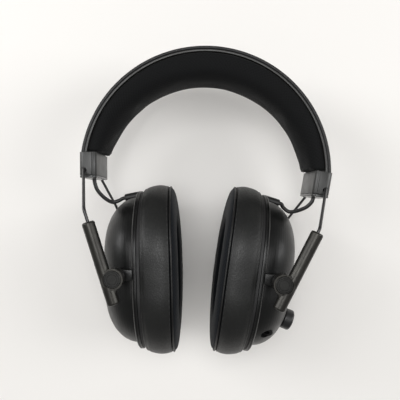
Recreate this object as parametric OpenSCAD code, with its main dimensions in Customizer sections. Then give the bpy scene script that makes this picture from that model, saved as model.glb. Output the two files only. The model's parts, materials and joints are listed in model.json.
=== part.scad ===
// Wireless over-ear headphones, lying on their back.
// +X is the wearer's left, +Y points at the crown and +Z is the front.
// The design is drawn about the centre of the headband arc, then lifted into place.

/* [Headband] */
// Outer radius of the headband cover
band_r = 76.6; // [72:0.2:92]
// Depth of the headband, front edge to rear edge
band_depth = 36; // [30:0.5:44]
// Thickness of the leatherette cover
cover_t = 2; // [1.2:0.1:2.6]
// Thickness of the plastic carrier under the cover
carrier_t = 1.4; // [1:0.1:2]
// Thickness of the spring steel strip
spring_t = 0.7; // [0.4:0.1:1]
// Width of the spring steel strip
spring_w = 16; // [10:0.5:20]
// Thickness of the pad at the crown
pad_crown_t = 17.8; // [14:0.1:24]
// Thickness of the pad above the end blocks
pad_side_t = 9.8; // [8:0.1:14]

/* [End blocks] */
// Thickness of an end block, inside face to outside face
block_t = 10.4; // [9:0.2:13]
// Height of an end block
block_h = 15.8; // [13:0.2:20]
// How far an end block stands out past the band, front and rear
block_proud = 0.6; // [0.3:0.1:1.5]
// Lean of an end block, foot inwards
block_lean = 5; // [0:0.5:8]
// Radius of the upright corners of an end block
block_corner = 3; // [1:0.2:4]
// Thickness of the inner cover of an end block
block_cover_t = 2.6; // [2:0.1:3.2]
// Thickness of the foot plate of an end block
foot_plate_t = 1.6; // [1:0.1:2.5]
// How far the carrier reaches into an end block
socket_depth = 5; // [3:0.5:6]

/* [Wire bails] */
// Diameter of the bail wire
wire_d = 1.8; // [1.4:0.1:2.2]
// Lean of a bail, foot inwards
bail_lean = 22.3; // [18:0.1:26]
// Distance down the lean from the hinge to the knee
knee_drop = 24.5; // [20:0.5:30]
// Distance down the lean from the hinge to the end of the wire
leg_drop = 70; // [66:0.5:72]
// Bend radius at the end block
neck_bend = 3; // [2:0.5:4]
// Bend radius at the knee
knee_bend = 4; // [3:0.5:5]

/* [Sliders] */
// Diameter of a slider tube
tube_d = 7; // [6.4:0.1:8]
// Room left inside the tube under the bail's foot when the slider is pushed home
tube_spare = 1.3; // [0.5:0.1:8]
// Thickness of the tube's closed end
tube_floor = 2.5; // [2:0.1:4]
// Diameter of the hole in a slider tube
tube_bore_d = 3.8; // [3.4:0.1:4]
// Distance of a slider tube from the middle plane, axis to plane
tube_z = 49; // [48:0.5:54]
// Distance from the top of a tube to its cup pivot
lug_drop = 33.4; // [30:0.5:36]
// Distance of the cup pivot inwards from the tube's axis
lug_offset = 3.8; // [3.6:0.1:5]
// Diameter of the pivot lug
lug_d = 11.6; // [10.6:0.1:13]
// Diameter of the pivot cap
cap_d = 9.6; // [8:0.1:10]
// Length of the friction bush in the tube's mouth
bush_len = 8; // [5:0.5:9]
// Extension of the wearer's left side as the headphones lie
slide_left = 0; // [0:0.5:6]
// Extension of the wearer's right side as the headphones lie
slide_right = 5; // [0:0.5:6]

/* [Ear cups] */
// Length of the straight stretch between the round ends of a cup
cup_straight = 18; // [12:0.5:24]
// Radius of the cushion's round ends at their widest
cushion_r = 45; // [41:0.5:45]
// Radius of the seam round the cushion's face
seam_r = 42.8; // [40:0.2:44]
// Radius of the round ends of the ear opening
ear_r = 21; // [18:0.5:23]
// Depth of the crowned fabric face, top to seam
face_h = 5.6; // [5:0.5:9]
// Thickness of the whole cushion
cushion_h = 21.4; // [18:0.2:25]
// Thickness of the cushion's mounting plate
plate_t = 1.6; // [1.2:0.1:2.4]
// Radius of the trim ring between cushion and shell
ring_r = 40.8; // [39.6:0.2:42]
// Thickness of the trim ring
ring_h = 2.8; // [2.4:0.1:4]
// Radius of the shell's round ends where it meets the ring
shell_r = 37; // [35:0.2:37]
// Height of the shell above the ring
shell_h = 20.7; // [20:0.1:26]
// Radius of the flat on top of the shell
shell_flat_r = 9; // [6:0.5:14]
// Thickness of the shell's wall
shell_wall = 2; // [1.4:0.1:2.4]
// Distance of the cup's pivot above its middle
pivot_rise = 1.8; // [0:0.5:4]
// Height of the pivot above the trim ring
pivot_h = 8.7; // [5:0.5:10]
// Tilt of the wearer's left cup as the headphones lie, head end outwards
tilt_left = 2.9; // [0:0.1:4]
// Tilt of the wearer's right cup as the headphones lie, head end outwards
tilt_right = 6.3; // [2:0.1:7]

/* [Drivers] */
// Diameter of the driver's basket
driver_d = 42; // [38:0.5:46]
// Height of the driver's basket
driver_h = 7; // [5:0.5:8]
// Diameter of the driver's magnet
magnet_d = 26; // [20:0.5:30]
// Height of the driver's magnet
magnet_h = 4; // [3:0.5:4.5]

/* [Controls] */
// Diameter of the volume knob
knob_d = 13; // [10:0.5:14]
// Height of the volume knob
knob_h = 6.4; // [5:0.2:8]
// Distance of the volume knob below the cup's middle
knob_drop = 26.7; // [25.5:0.1:27.5]
// Diameter of the push buttons
button_d = 6.4; // [5:0.2:7]
// How far a push button stands out
button_proud = 1.4; // [1:0.1:2]
// Travel of a push button
button_travel = 0.6; // [0.4:0.1:0.8]
// Diameter of the microphone socket's jack hole
jack_d = 3.5; // [3:0.1:3.5]
// Depth of the microphone socket's jack hole
jack_depth = 14.5; // [10:0.5:15]

/* [Leads] */
// Diameter of the lead to each cup
lead_d = 2.5; // [2:0.1:3]

/* [Hidden] */

$fn = 96;
eps = 0.01;

// Clearances: pieces laid together, a shaft that turns or slides, and pieces that pass
fit = 0.05;
run = 0.05;
gap = 0.3;

// Sides: 1 is the wearer's left, -1 the wearer's right
LEFT = 1;
RIGHT = -1;

// Headband radii, from the outside in
carrier_r = band_r - cover_t;
spring_r = carrier_r - carrier_t;
tongue_w = spring_w + 8;

// The pad's underside is a circle through the crown and the two side thicknesses
pad_crown_y = spring_r - pad_crown_t;
pad_side_x = spring_r - pad_side_t;
pad_drop = (pad_side_x * pad_side_x - pad_crown_y * pad_crown_y) / (2 * pad_crown_y);
pad_r = pad_crown_y + pad_drop;

// End block: middle, depth and the bail's hinge inside it
block_depth = band_depth + 2 * block_proud;
block_x = band_r - block_t / 2 + 0.2;
block_y = 6 - block_h / 2;
hinge_in = [block_t / 2 - 3.2, -3];
hinge = [block_x, block_y] + turn2(hinge_in, block_lean);

// Bail
wire_r = wire_d / 2;
neck_z = block_depth / 2 + 1.5;
knee_turn = 90 - atan2(knee_drop, tube_z - neck_z);
mouth_drop = knee_drop + knee_bend * tan(knee_turn / 2) + 0.4;
stop_len = 2;
tube_len = leg_drop - mouth_drop + tube_spare + tube_floor;
bend_swell = 0.03;
bend_lap = 0.2;

// Cup heights, measured outwards from the top of the cushion's face
ring_u = cushion_h + plate_t;
shell_u = ring_u + ring_h;
pivot_u = shell_u + pivot_h;
top_u = shell_u + shell_h;
shell_shoulder = shell_r - shell_flat_r;

// Pivot parts across the depth, on the front side
lug_face_z = tube_z - tube_d / 2;
cap_face_z = tube_z + tube_d / 2;
cap_t = 0.8;
cap_proud = 0.2;
screw_head_t = 1.1;
screw_head_d = 4.6;
pivot_pin_d = 3;
boss_face_z = lug_face_z - 0.6;
boss_root_z = shell_r + gap;
boss_d = 8.4;

// Cup screws
cup_screw_d = 2;
cup_screw_head_d = 4;
cup_screw_len = 8;
post_d = 4.8;
post_r = shell_r - shell_wall - post_d / 2 - 1.6;
cup_screw_places = [for (v = [-1, 1]) for (w = [-1, 1]) [v * cup_straight / 2, w * post_r]];

// Controls round the lower end of the wearer's left cup, as angles from the front
rim_u = shell_u + 7.4;
mic_angle = 41;
usb_angle = 96;
mute_angle = 138;
power_angle = 164;
light_angle = 150;
mic_socket_d = 7;
usb_size = [8.9, 3.2, 7.4];
switch_t = 3;

// The driver's middle lifts towards the crown where its rim would meet the jack socket
driver_room = driver_d / 2 + gap + mic_socket_d / 2;
mic_foot_r = shell_rad(rim_u) - 1 - jack_depth - 1.5;
mic_foot = [-cup_straight / 2 - mic_foot_r * sin(mic_angle), mic_foot_r * cos(mic_angle)];
driver_v = max(0, sqrt(driver_room * driver_room - mic_foot.y * mic_foot.y) + mic_foot.x);

// Leads: where they leave the foot plate and where they enter the cup
lead_r = lead_d / 2;
lead_hole_r = lead_r + 0.3;
grommet_len = 10;
grommet_d = 5;
grommet_w = -6;
grommet_fall = 10;
grommet_root = [shell_u + fit, cup_straight / 2 + ring_r - 2.4];
lead_mid_left = [
    [70.4, -12.4, 0], [67.6, -16.2, -1.5], [62.6, -19.2, -4.5], [57.6, -20.4, -6.4]
];
lead_mid_right = [
    [70.3, -12.6, 0], [68.2, -17.2, -1], [63.8, -21.6, -3.5], [59, -23.8, -5.4]
];
lead_bow_left = [53.4, -18, -6.6];
lead_bow_right = [55, -22.4, -6.2];

function turn2(p, a) = [p.x * cos(a) + p.y * sin(a), p.y * cos(a) - p.x * sin(a)];
function slide_of(s) = s == LEFT ? slide_left : slide_right;
function tilt_of(s) = s == LEFT ? tilt_left : tilt_right;

// Cup pivot in the plane of the band
function pivot_of(s) =
    hinge + turn2([-lug_offset, -(mouth_drop + slide_of(s) + lug_drop)], bail_lean);
function cup_point(s, u, v) =
    pivot_of(s) + turn2([u - pivot_u, v - pivot_rise], tilt_of(s));

// Half width of the shell at height u, outside or with a wall taken off
function shell_rad(u, wall = 0) =
    shell_flat_r
    + (shell_shoulder - wall) * sqrt(max(0, 1 - pow((u - shell_u) / (shell_h - wall), 2)));
// Height of the shell at distance r from the centre of its round end
function shell_top(r, wall = 0) =
    shell_u
    + (shell_h - wall) * sqrt(max(0, 1 - pow(max(0, r - shell_flat_r) / (shell_shoulder - wall), 2)));

// Outlines in [radius, height] form
shell_steps = 20;
function shell_curve(wall) = [
    for (i = [0:shell_steps])
        let (a = 90 * i / shell_steps)
        [shell_flat_r + (shell_shoulder - wall) * cos(a), shell_u + (shell_h - wall) * sin(a)]
];
face_mid_r = (seam_r + ear_r) / 2;
face_curve = [
    for (i = [0:16])
        let (a = 180 * i / 16)
        [face_mid_r + (seam_r - face_mid_r) * cos(a), face_h - face_h * pow(sin(a), 0.7)]
];
side_foot_r = ring_r + 1.6;
side_curve = [
    for (i = [0:12])
        let (t = i / 12, bulge = sin(180 * pow(t, 0.8)))
        [
            seam_r + (side_foot_r - seam_r) * t
            + (cushion_r - (seam_r + side_foot_r) / 2) * bulge,
            face_h + fit + (cushion_h - face_h - fit) * t
        ]
];

// The lowest point of a cup stands level with the origin's front and rear halves
function cup_low(s) = min([
    for (p = side_curve)
        cup_point(s, p.y, -p.x - cup_straight / 2).y
]);
low_y = min(cup_low(LEFT), cup_low(RIGHT));
arc_y = -(band_r + low_y) / 2;
mid_z = cap_face_z;

// ---- placing ----

module whole() {
    translate([0, arc_y, mid_z])
        children();
}

module side(s) {
    whole()
        mirror([s == LEFT ? 0 : 1, 0, 0])
            children();
}

module block_frame() {
    translate([block_x, block_y, 0])
        rotate([0, 0, -block_lean])
            children();
}

// The hinge of the bail, with -y running down the bail's lean
module bail_frame() {
    translate([hinge.x, hinge.y, 0])
        rotate([0, 0, -bail_lean])
            children();
}

module slider_frame(s) {
    bail_frame()
        translate([0, -(mouth_drop + slide_of(s)), 0])
            children();
}

// A cup's own frame: x runs outwards from the cushion's face, y towards the crown
module cup_frame(s) {
    side(s)
        translate([pivot_of(s).x, pivot_of(s).y, 0])
            rotate([0, 0, -tilt_of(s)])
                translate([-pivot_u, -pivot_rise, 0])
                    children();
}

// A place on the rim of the lower end, a degrees round from the front, z outwards
module rim_frame(a) {
    translate([rim_u, -cup_straight / 2, 0])
        rotate([a, 0, 0])
            children();
}

// The volume knob's axis, square to the shell
knob_reach = knob_drop - cup_straight / 2;
knob_slope = atan2(
    (knob_reach - shell_flat_r) * shell_h * shell_h,
    (shell_top(knob_reach) - shell_u) * shell_shoulder * shell_shoulder
);
module knob_frame() {
    translate([shell_top(knob_reach), -knob_drop, 0])
        rotate([0, 0, -knob_slope])
            rotate([0, 90, 0])
                children();
}

module front_and_rear() {
    for (m = [0, 1])
        mirror([0, 0, m])
            children();
}

// ---- shapes used again ----

module arc_band(r_out, t, depth, turn = 200) {
    rotate([0, 0, 90 - turn / 2])
        rotate_extrude(angle = turn)
            translate([r_out - t, -depth / 2])
                square([t, depth]);
}

// Everything outboard that lies below a level in either end block
module below_blocks(level) {
    reach = 2 * band_r;
    for (m = [0, 1])
        mirror([m, 0, 0])
            block_frame()
                translate([-block_x / 2, level - reach, -reach])
                    cube([reach, reach, 2 * reach]);
}

module round_box(size, r, height) {
    linear_extrude(height)
        union() {
            square([size.x - 2 * r, size.y], center = true);
            square([size.x, size.y - 2 * r], center = true);
            for (x = [-1, 1])
                for (y = [-1, 1])
                    translate([x * (size.x / 2 - r), y * (size.y / 2 - r)])
                        circle(r);
        }
}

// The end block's outline, standing on its foot, from one level to another
module block_solid(low, high) {
    translate([0, high, 0])
        rotate([90, 0, 0])
            round_box([block_t, block_depth], block_corner, high - low);
}

module oval_outline(r) {
    union() {
        for (e = [-1, 1])
            translate([0, e * cup_straight / 2])
                circle(r);
        square([2 * r, cup_straight], center = true);
    }
}

// A flat oval plate between two heights of the cup
module oval_plate(u0, u1, r) {
    translate([u0, 0, 0])
        rotate([0, 90, 0])
            linear_extrude(u1 - u0)
                oval_outline(r);
}

// A [radius, height] outline carried right round the cup's oval
module oval_sweep() {
    union() {
        for (e = [0, 1])
            mirror([0, e, 0])
                translate([0, cup_straight / 2, 0])
                    rotate([0, 90, 0])
                        rotate_extrude(angle = 180)
                            children();
        for (m = [0, 1])
            mirror([0, 0, m])
                translate([0, -cup_straight / 2, 0])
                    rotate(a = -120, v = [1, 1, 1])
                        linear_extrude(cup_straight)
                            children();
    }
}

// A round bar with both ends' edges rounded over
module soft_bar(r, len, edge) {
    rotate_extrude()
        union() {
            square([r - edge, len]);
            translate([0, edge])
                square([r, len - 2 * edge]);
            for (z = [edge, len - edge])
                translate([r - edge, z])
                    circle(edge);
        }
}

function heading(a, b) = atan2(b.y - a.y, b.x - a.x);
function bend_turn(p, i) =
    let (d = heading(p[i], p[i + 1]) - heading(p[i - 1], p[i]))
    d > 180 ? d - 360 : d < -180 ? d + 360 : d;
function bend_trim(p, bends, i) =
    i == 0 || i == len(p) - 1 ? 0 : bends[i] * tan(abs(bend_turn(p, i)) / 2);
function along(a, b, d) = a + (b - a) * d / norm(b - a);

// A wire bent in one plane through points p, with a bend radius at each
module bent_wire(p, bends, r) {
    for (i = [0:len(p) - 2]) {
        a = along(p[i], p[i + 1], bend_trim(p, bends, i));
        b = along(p[i + 1], p[i], bend_trim(p, bends, i + 1));
        translate([a.x, a.y, 0])
            rotate([0, 90, heading(a, b)])
                translate([0, 0, -bend_lap])
                    cylinder(h = norm(b - a) + 2 * bend_lap, r = r);
    }
    for (i = [1:len(p) - 2]) {
        hand = sign(bend_turn(p, i));
        start = along(p[i], p[i - 1], bend_trim(p, bends, i));
        way = heading(p[i - 1], p[i]);
        centre = start + bends[i] * hand * [-sin(way), cos(way)];
        translate([centre.x, centre.y, 0])
            rotate([0, 0, hand > 0 ? way - 90 : way + 90 - abs(bend_turn(p, i))])
                rotate_extrude(angle = abs(bend_turn(p, i)))
                    translate([bends[i], 0])
                        circle(r + bend_swell);
    }
}

// ---- headband ----

module band_cover() {
    color("#1c1c1e")
        whole()
            difference() {
                arc_band(band_r, cover_t - fit, band_depth);
                below_blocks(block_h / 2 + fit);
            }
}

module carrier_body(slack = 0) {
    difference() {
        arc_band(carrier_r, carrier_t, band_depth - 0.6);
        below_blocks(block_h / 2 + fit);
    }
    difference() {
        arc_band(carrier_r + slack, carrier_t + 2 * slack, tongue_w + 2 * slack);
        below_blocks(block_h / 2 - socket_depth + fit - slack);
    }
}

module band_carrier() {
    color("#8a8780")
        whole()
            carrier_body();
}

module spring_body(slack = 0) {
    difference() {
        arc_band(spring_r - fit + slack, spring_t + 2 * slack, spring_w + 2 * slack);
        below_blocks(block_h / 2 - socket_depth + fit - slack);
    }
}

module spring_band() {
    color("silver")
        whole()
            spring_body();
}

module band_pad() {
    color("#242426")
        whole()
            difference() {
                translate([0, 0, -band_depth / 2 + 0.5])
                    linear_extrude(band_depth - 1)
                        difference() {
                            circle(spring_r - fit);
                            translate([0, -pad_drop])
                                circle(pad_r);
                            translate([0, -band_r])
                                square(2 * (band_r - block_h), center = true);
                        }
                below_blocks(block_h / 2 + gap);
                spring_body(fit);
            }
}

// ---- end blocks ----

module end_block(s) {
    color("#5a5b59")
        side(s)
            difference() {
                block_frame()
                    difference() {
                        block_solid(-block_h / 2 + foot_plate_t, block_h / 2);
                        translate([-block_t, -block_h, -block_depth])
                            cube([block_t / 2 + block_cover_t, 2 * block_h, 2 * block_depth]);
                        translate([hinge_in.x, hinge_in.y, -block_depth])
                            cylinder(h = 2 * block_depth, r = wire_r + run);
                        translate([-1.2, -block_h, -6])
                            cube([2.4, 2 * block_h - 6, 2.4]);
                    }
                carrier_body(fit);
                spring_body(fit);
            }
}

module end_cover(s) {
    color("#5a5b59")
        side(s)
            block_frame()
                intersection() {
                    block_solid(-block_h / 2 + foot_plate_t, block_h / 2);
                    translate([-block_t, -block_h, -block_depth])
                        cube([block_t / 2 + block_cover_t - fit, 2 * block_h, 2 * block_depth]);
                }
}

module foot_plate(s) {
    color("#77787a")
        side(s)
            block_frame()
                difference() {
                    block_solid(-block_h / 2, -block_h / 2 + foot_plate_t - fit);
                    rotate([90, 0, 0])
                        cylinder(h = block_h, r = lead_hole_r);
                }
}

// ---- bails ----

module bail(s) {
    legs = [
        [-tube_z, -leg_drop], [-tube_z, -knee_drop], [-neck_z, 0],
        [neck_z, 0], [tube_z, -knee_drop], [tube_z, -leg_drop]
    ];
    bends = [0, knee_bend, neck_bend, neck_bend, knee_bend, 0];
    color("#202124")
        side(s)
            bail_frame() {
                rotate([0, 90, 0])
                    bent_wire(legs, bends, wire_r);
                front_and_rear()
                    translate([0, -leg_drop + stop_len, tube_z])
                        rotate([90, 0, 0])
                            cylinder(h = stop_len, r = tube_bore_d / 2 - run);
            }
}

// ---- sliders ----

module slider_tube() {
    lug_h = cap_face_z - cap_proud - lug_face_z;
    difference() {
        union() {
            translate([0, 0, tube_z])
                rotate([90, 0, 0])
                    soft_bar(tube_d / 2, tube_len, 1.2);
            translate([-lug_offset, -lug_drop, lug_face_z])
                cylinder(h = lug_h, d = lug_d);
            translate([0, 0, lug_face_z + 1])
                linear_extrude(lug_h - 2)
                    difference() {
                        polygon([
                            [-lug_offset, -lug_drop], [0, -lug_drop],
                            [0, -tube_len + 3], [-lug_offset - 1, -lug_drop - lug_d / 2]
                        ]);
                        translate([-lug_offset - 2.6, -lug_drop - lug_d / 2 - 3.2])
                            circle(3.6);
                    }
        }
        translate([0, eps, tube_z])
            rotate([90, 0, 0])
                cylinder(h = tube_len - tube_floor + eps, d = tube_bore_d);
        translate([-lug_offset, -lug_drop, 0]) {
            cylinder(h = 2 * tube_z, d = pivot_pin_d + 2 * run);
            translate([0, 0, cap_face_z - cap_t - screw_head_t - 2 * fit])
                cylinder(h = tube_d, d = screw_head_d + 4 * run);
            translate([0, 0, cap_face_z - cap_t])
                cylinder(h = tube_d, d = cap_d + 2 * fit);
        }
    }
}

module slider_front(s) {
    color("#3d3c38")
        side(s)
            slider_frame(s)
                slider_tube();
}

module slider_rear(s) {
    color("#3d3c38")
        side(s)
            slider_frame(s)
                mirror([0, 0, 1])
                    slider_tube();
}

module slider_bushes(s) {
    color("#2a2a2a")
        side(s)
            slider_frame(s)
                front_and_rear()
                    translate([0, -0.2, tube_z])
                        rotate([90, 0, 0])
                            difference() {
                                cylinder(h = bush_len, r = tube_bore_d / 2 - 0.02);
                                translate([0, 0, -eps])
                                    cylinder(h = bush_len + 1, r = wire_r + run);
                            }
}

module pivot_caps(s) {
    color("#55524b")
        side(s)
            slider_frame(s)
                front_and_rear()
                    translate([-lug_offset, -lug_drop, cap_face_z - cap_t + fit])
                        cylinder(h = cap_t - fit, d = cap_d);
}

module pivot_screws(s) {
    head_z = cap_face_z - cap_t - screw_head_t - fit;
    color("silver")
        cup_frame(s)
            front_and_rear()
                translate([pivot_u, pivot_rise, 0]) {
                    translate([0, 0, boss_root_z + 1])
                        cylinder(h = head_z - boss_root_z, d = pivot_pin_d);
                    translate([0, 0, head_z])
                        cylinder(h = screw_head_t, d = screw_head_d);
                }
}

// ---- ear cups ----

module cup_ring(s) {
    color("#262626")
        cup_frame(s)
            difference() {
                union() {
                    oval_plate(ring_u, shell_u, ring_r);
                    front_and_rear()
                        translate([0, pivot_rise, 0]) {
                            translate([pivot_u, 0, boss_root_z])
                                cylinder(h = boss_face_z - boss_root_z, d = boss_d);
                            translate([ring_u + 1, -boss_d / 2, boss_root_z])
                                cube([pivot_u - ring_u - 1, boss_d, ring_r - boss_root_z]);
                        }
                }
                oval_plate(ring_u - 1, ring_u + 2, ring_r - 1.8);
                oval_plate(ring_u + 1, shell_u + 1, shell_r - 2.4);
                front_and_rear()
                    translate([pivot_u, pivot_rise, boss_root_z - 1])
                        cylinder(h = tube_z, r = pivot_pin_d / 2 + 0.02);
            }
}

module shell_profile(wall) {
    polygon(concat([[0, shell_u]], shell_curve(wall), [[0, top_u - wall]]));
}

module shell_holes() {
    knob_frame()
        translate([0, 0, -shell_wall - 3])
            cylinder(h = shell_wall + 6, d = pivot_pin_d + 1.2);
    rim_frame(mic_angle)
        translate([0, 0, shell_rad(rim_u) - 8])
            cylinder(h = 16, d = mic_socket_d + 2 * fit);
    rim_frame(usb_angle)
        translate([0, 0, shell_rad(rim_u)])
            cube([usb_size.x + 2 * fit, usb_size.y + 2 * fit, 16], center = true);
    for (a = [power_angle, mute_angle])
        rim_frame(a)
            translate([0, 0, shell_rad(rim_u) - 8])
                cylinder(h = 16, d = button_d + 2 * gap);
    rim_frame(light_angle)
        translate([8, 0, 0])
            translate([0, 0, shell_rad(rim_u) - 14])
                cylinder(h = 20, d = 2 + 2 * fit);
}

module cup_shell(s) {
    color("#2b2b2b")
        cup_frame(s)
            difference() {
                union() {
                    difference() {
                        oval_sweep()
                            shell_profile(0);
                        translate([-eps, 0, 0])
                            oval_sweep()
                                shell_profile(shell_wall);
                    }
                    for (p = cup_screw_places)
                        translate([shell_u, p[0], p[1]])
                            rotate([0, 90, 0])
                                cylinder(h = shell_top(post_r, shell_wall) - shell_u + 0.1, d = post_d);
                }
                for (p = cup_screw_places)
                    translate([shell_u - 1, p[0], p[1]])
                        rotate([0, 90, 0])
                            cylinder(h = cup_screw_len, r = cup_screw_d / 2 + fit);
                grommet_frame()
                    translate([0, 0, -4])
                        cylinder(h = grommet_len + 4, r = grommet_d / 2 + fit);
                if (s == LEFT)
                    shell_holes();
            }
}

module baffle(s) {
    color("#1e1e1e")
        cup_frame(s)
            difference() {
                oval_plate(ring_u, ring_u + 2 - fit, ring_r - 1.8 - fit);
                translate([0, driver_v, 0])
                    rotate([0, 90, 0])
                        cylinder(h = 2 * ring_u, d = driver_d - 6);
                for (p = cup_screw_places)
                    translate([ring_u - 1, p[0], p[1]])
                        rotate([0, 90, 0]) {
                            cylinder(h = 2.2, d = cup_screw_head_d + 4 * fit);
                            cylinder(h = 6, r = cup_screw_d / 2 + fit);
                        }
            }
}

module cup_screws(s) {
    color("silver")
        cup_frame(s)
            for (p = cup_screw_places)
                translate([ring_u + 0.1, p[0], p[1]])
                    rotate([0, 90, 0]) {
                        cylinder(h = 1, d = cup_screw_head_d);
                        cylinder(h = cup_screw_len, d = cup_screw_d);
                    }
}

module cushion_plate(s) {
    color("#202020")
        cup_frame(s)
            difference() {
                oval_plate(cushion_h + fit, ring_u - fit, ring_r - 0.6);
                oval_plate(cushion_h - 1, ring_u + 1, ear_r + 1);
            }
}

module cushion_side(s) {
    color("#1a1a1a")
        cup_frame(s)
            oval_sweep()
                polygon(concat(
                    [[ear_r, cushion_h], [ear_r, face_h + fit]],
                    side_curve
                ));
}

module cushion_face(s) {
    color("#24262c")
        cup_frame(s)
            oval_sweep()
                polygon(face_curve);
}

module scrim(s) {
    color("#101010")
        cup_frame(s)
            oval_plate(ring_u - 0.6, ring_u - fit, ear_r + 1 - fit);
}

// ---- drivers ----

module driver_basket(s) {
    color("#303030")
        cup_frame(s)
            translate([ring_u + 2, driver_v, 0])
                rotate([0, 90, 0])
                    difference() {
                        cylinder(h = driver_h, d = driver_d);
                        translate([0, 0, -eps])
                            cylinder(h = driver_h - 1.6, d = driver_d - 5);
                        cylinder(h = 2 * driver_h, d = magnet_d - 6);
                    }
}

module driver_magnet(s) {
    color("#6b6b6b")
        cup_frame(s)
            translate([ring_u + 2 + driver_h + fit, driver_v, 0])
                rotate([0, 90, 0])
                    cylinder(h = magnet_h, d = magnet_d);
}

module diaphragm(s) {
    color("#c8c8c8")
        cup_frame(s)
            translate([ring_u + 2.4, driver_v, 0])
                rotate([0, 90, 0])
                    rotate_extrude()
                        polygon([
                            [0, 1.4], [6, 1.1], [9, 0], [driver_d / 2 - 2.6, 0],
                            [driver_d / 2 - 2.6, 0.4], [9.2, 0.4], [6.2, 1.5], [0, 1.8]
                        ]);
}

// ---- leads ----

module grommet_frame() {
    translate([grommet_root.x, grommet_root.y, grommet_w])
        rotate([0, 0, -grommet_fall])
            rotate([0, 90, 0])
                children();
}

module lead_grommet(s) {
    color("#1b1b1b")
        cup_frame(s)
            intersection() {
                grommet_frame()
                    difference() {
                        translate([0, 0, -3])
                            soft_bar(grommet_d / 2, grommet_len + 3, 1);
                        translate([0, 0, grommet_len - 3])
                            cylinder(h = 6, r = lead_hole_r);
                    }
                translate([shell_u + fit, 0, -ring_r])
                    cube(2 * ring_r);
            }
}

// Where a lead's two ends lie
lead_start = let (p = [block_x, block_y] + turn2([0, -block_h / 2 + 0.3], block_lean)) [p.x, p.y, 0];
function lead_finish(s) =
    let (
        r = turn2([grommet_len - 1.5, 0], grommet_fall),
        p = cup_point(s, grommet_root.x + r.x, grommet_root.y + r.y)
    )
    [p.x, p.y, grommet_w];
function lead_route(s) =
    let (
        end = lead_finish(s),
        r = turn2([5, 0], grommet_fall + tilt_of(s)),
        neck = [end.x + r.x * 0.6, end.y + r.y * 0.6, grommet_w]
    )
    s == LEFT
        ? concat([lead_start], lead_mid_left, [lead_bow_left, neck, end])
        : concat([lead_start], lead_mid_right, [lead_bow_right, neck, end]);

// A smooth curve through a list of points, with steps points to each stretch
function curve_at(p, i, t) =
    let (
        a = p[max(i - 1, 0)],
        b = p[i],
        c = p[i + 1],
        d = p[min(i + 2, len(p) - 1)]
    )
    0.5 * (2 * b + (c - a) * t + (2 * a - 5 * b + 4 * c - d) * t * t
        + (3 * b - a - 3 * c + d) * t * t * t);
function smooth(p, steps) = concat(
    [for (i = [0:len(p) - 2]) for (k = [0:steps - 1]) curve_at(p, i, k / steps)],
    [p[len(p) - 1]]
);

// A closed tube swept along a list of points
module swept_tube(p, r, sides) {
    n = len(p);
    rings = [
        for (i = [0:n - 1])
            let (
                way = p[min(i + 1, n - 1)] - p[max(i - 1, 0)],
                t = way / norm(way),
                across = cross(t, [0, 0, 1]),
                a = across / norm(across),
                b = cross(a, t)
            )
            for (k = [0:sides - 1])
                p[i] + r * (cos(360 * k / sides) * a + sin(360 * k / sides) * b)
    ];
    walls = [
        for (i = [0:n - 2])
            for (k = [0:sides - 1])
                let (k2 = (k + 1) % sides)
                [i * sides + k, (i + 1) * sides + k, (i + 1) * sides + k2, i * sides + k2]
    ];
    ends = [
        [for (k = [0:sides - 1]) k],
        [for (k = [0:sides - 1]) n * sides - 1 - k]
    ];
    polyhedron(points = rings, faces = concat(walls, ends), convexity = 4);
}

module lead(s) {
    color("#161616")
        side(s)
            swept_tube(smooth(lead_route(s), 4), lead_r, 8);
}

// ---- electronics ----

board_u = ring_u + 2 + driver_h + magnet_h + 1.6;

module board_plate(thick) {
    translate([board_u, -14, -18])
        cube([thick, 40, 36]);
}

module main_board() {
    color("#1f5a35")
        cup_frame(LEFT)
            board_plate(1.2);
}

module radio_module() {
    color("#b8b8b8")
        cup_frame(LEFT)
            translate([board_u + 1.2 + fit, 6, -7])
                cube([1.6, 14, 12]);
}

module charging_board() {
    color("#1f5a35")
        cup_frame(RIGHT)
            board_plate(1);
}

module battery() {
    color("#9aa4ad")
        cup_frame(RIGHT)
            translate([board_u + 1 + fit, -10, -13])
                cube([4, 34, 26]);
}

module usb_socket() {
    color("#b5b5b5")
        cup_frame(LEFT)
            rim_frame(usb_angle)
                translate([0, 0, shell_rad(rim_u) - usb_size.z / 2 - 0.9])
                    difference() {
                        cube(usb_size, center = true);
                        translate([0, 0, 1])
                            difference() {
                                cube([usb_size.x - 0.6, usb_size.y - 0.6, usb_size.z], center = true);
                                translate([0, 0, -1.2])
                                    cube([usb_size.x - 2.2, 0.7, usb_size.z - 1.6], center = true);
                            }
                    }
}

module mic_socket() {
    mouth = shell_rad(rim_u) - 1;
    color("#141414")
        cup_frame(LEFT)
            rim_frame(mic_angle)
                difference() {
                    translate([0, 0, mouth - jack_depth - 1.5])
                        cylinder(h = jack_depth + 1.5, d = mic_socket_d);
                    translate([0, 0, mouth - jack_depth])
                        cylinder(h = jack_depth + 1, d = jack_d);
                }
}

module volume_pot() {
    color("#7d7d7d")
        cup_frame(LEFT)
            knob_frame()
                translate([0, 0, -shell_wall - 6.6])
                    difference() {
                        cylinder(h = 6, d = 10);
                        translate([0, 0, 1.5])
                            cylinder(h = 8, d = pivot_pin_d + 2 * run);
                    }
}

module volume_knob() {
    color("#1d1d1d")
        cup_frame(LEFT)
            knob_frame() {
                translate([0, 0, 0.6])
                    soft_bar(knob_d / 2, knob_h, 1.4);
                translate([0, 0, -shell_wall - 4.4])
                    cylinder(h = shell_wall + 6, d = pivot_pin_d);
            }
}

module push_button(a) {
    color("#1a1a1a")
        cup_frame(LEFT)
            rim_frame(a)
                translate([0, 0, shell_rad(rim_u) - 3])
                    soft_bar(button_d / 2, 3 + button_proud, 0.6);
}

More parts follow.
